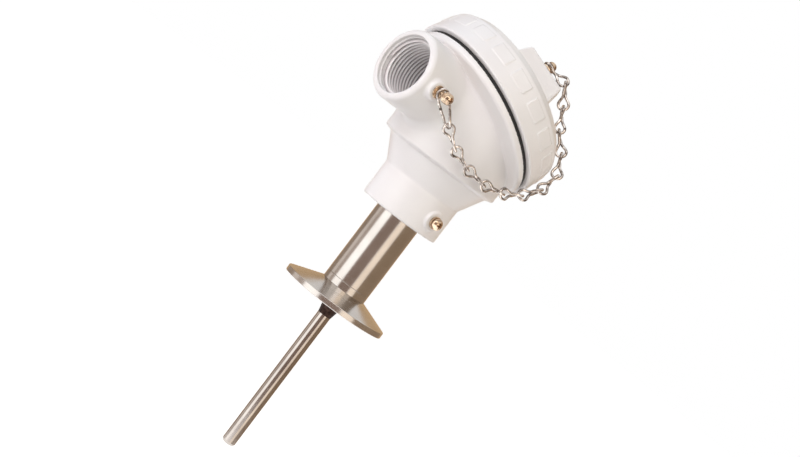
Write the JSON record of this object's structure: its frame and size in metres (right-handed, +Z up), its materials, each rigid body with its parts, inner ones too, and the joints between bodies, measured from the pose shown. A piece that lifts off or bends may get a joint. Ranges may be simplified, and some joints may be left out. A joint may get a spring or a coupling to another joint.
{
  "type": "rtd probe with connection head",
  "caption": "Resistance thermometer probe on a clamp cap, with a pipe nipple and a cast connection head whose tilted screw cover is kept on a chain.",
  "frame": {"origin": "centre of the clamp cap's flat sealing face, on the probe axis", "axes": "+Z up the probe axis from the clamp face to the head, -X out of the conduit mouth, -Y the side of the head with the chain"},
  "size_m": [0.0908, 0.0818, 0.217],
  "materials": {
    "stainless": "fine turned and brushed",
    "weld": "dull, heat tinted",
    "ceramic": "glazed ceramic",
    "powder": "packed mineral powder",
    "seal": "potting resin",
    "paint": "satin epoxy paint on cast aluminium",
    "screws": "nickel plated",
    "terminals": "bright",
    "lead_red": "plastic covered wire",
    "lead_white": "plastic covered wire",
    "ground": "green passivated",
    "gasket": "matt black",
    "chain": "nickel plated wire"
  },
  "bodies": {
    "probe_and_head": {"clamp_cap": "stainless", "sheath": "stainless", "tip_plug": "stainless", "weld_cone": "weld", "sensing_element": "ceramic", "insulation": "powder", "end_seal": "seal", "nipple": "stainless", "housing": "paint", "set_screw": "screws", "terminal_block": "ceramic", "terminal_1": "terminals", "terminal_2": "terminals", "terminal_3": "terminals", "terminal_screws": "terminals", "block_screws": "screws", "lead_wire_1": "lead_red", "lead_wire_2": "lead_red", "lead_wire_3": "lead_white", "ground_screw": "ground", "cover_gasket": "gasket", "chain_screw": "screws"},
    "cover_lift": {"cover_link": "chain"},
    "cover": {"cover": "paint", "cover_screw": "screws"},
    "chain_housing_end": {"housing_link": "chain", "chain_left": "chain"},
    "chain_cover_end": {"chain_right": "chain"}
  },
  "joints": [
    {"name": "cover_rise", "type": "slide", "parent": "probe_and_head", "child": "cover_lift", "axis": [0.515, 0, 0.8572], "range_m": [0, 0.0061]},
    {"name": "cover_turn", "type": "hinge", "parent": "cover_lift", "child": "cover", "pos_m": [-0.003, 0, 0.1019], "axis": [0.515, 0, 0.8572], "range_deg": [0, 1080]},
    {"name": "chain_housing_swing", "type": "hinge", "parent": "probe_and_head", "child": "chain_housing_end", "pos_m": [-0.0425, -0.0215, 0.0993], "axis": [-0.3053, -0.9067, -0.2909], "range_deg": [0, 7.3]},
    {"name": "chain_cover_swing", "type": "hinge", "parent": "cover_lift", "child": "chain_cover_end", "pos_m": [0.02255, -0.00876, 0.13467], "axis": [-0.5154, 0.7991, 0.3096], "range_deg": [0, 5.3]}
  ],
  "couplings": [
    {"joint": "cover_rise", "follows": "cover_turn", "m_per_rad": 0.00031831},
    {"joint": "chain_housing_swing", "follows": "cover_turn", "ratio": 0.0066058},
    {"joint": "chain_cover_swing", "follows": "cover_turn", "ratio": 0.0047735}
  ]
}
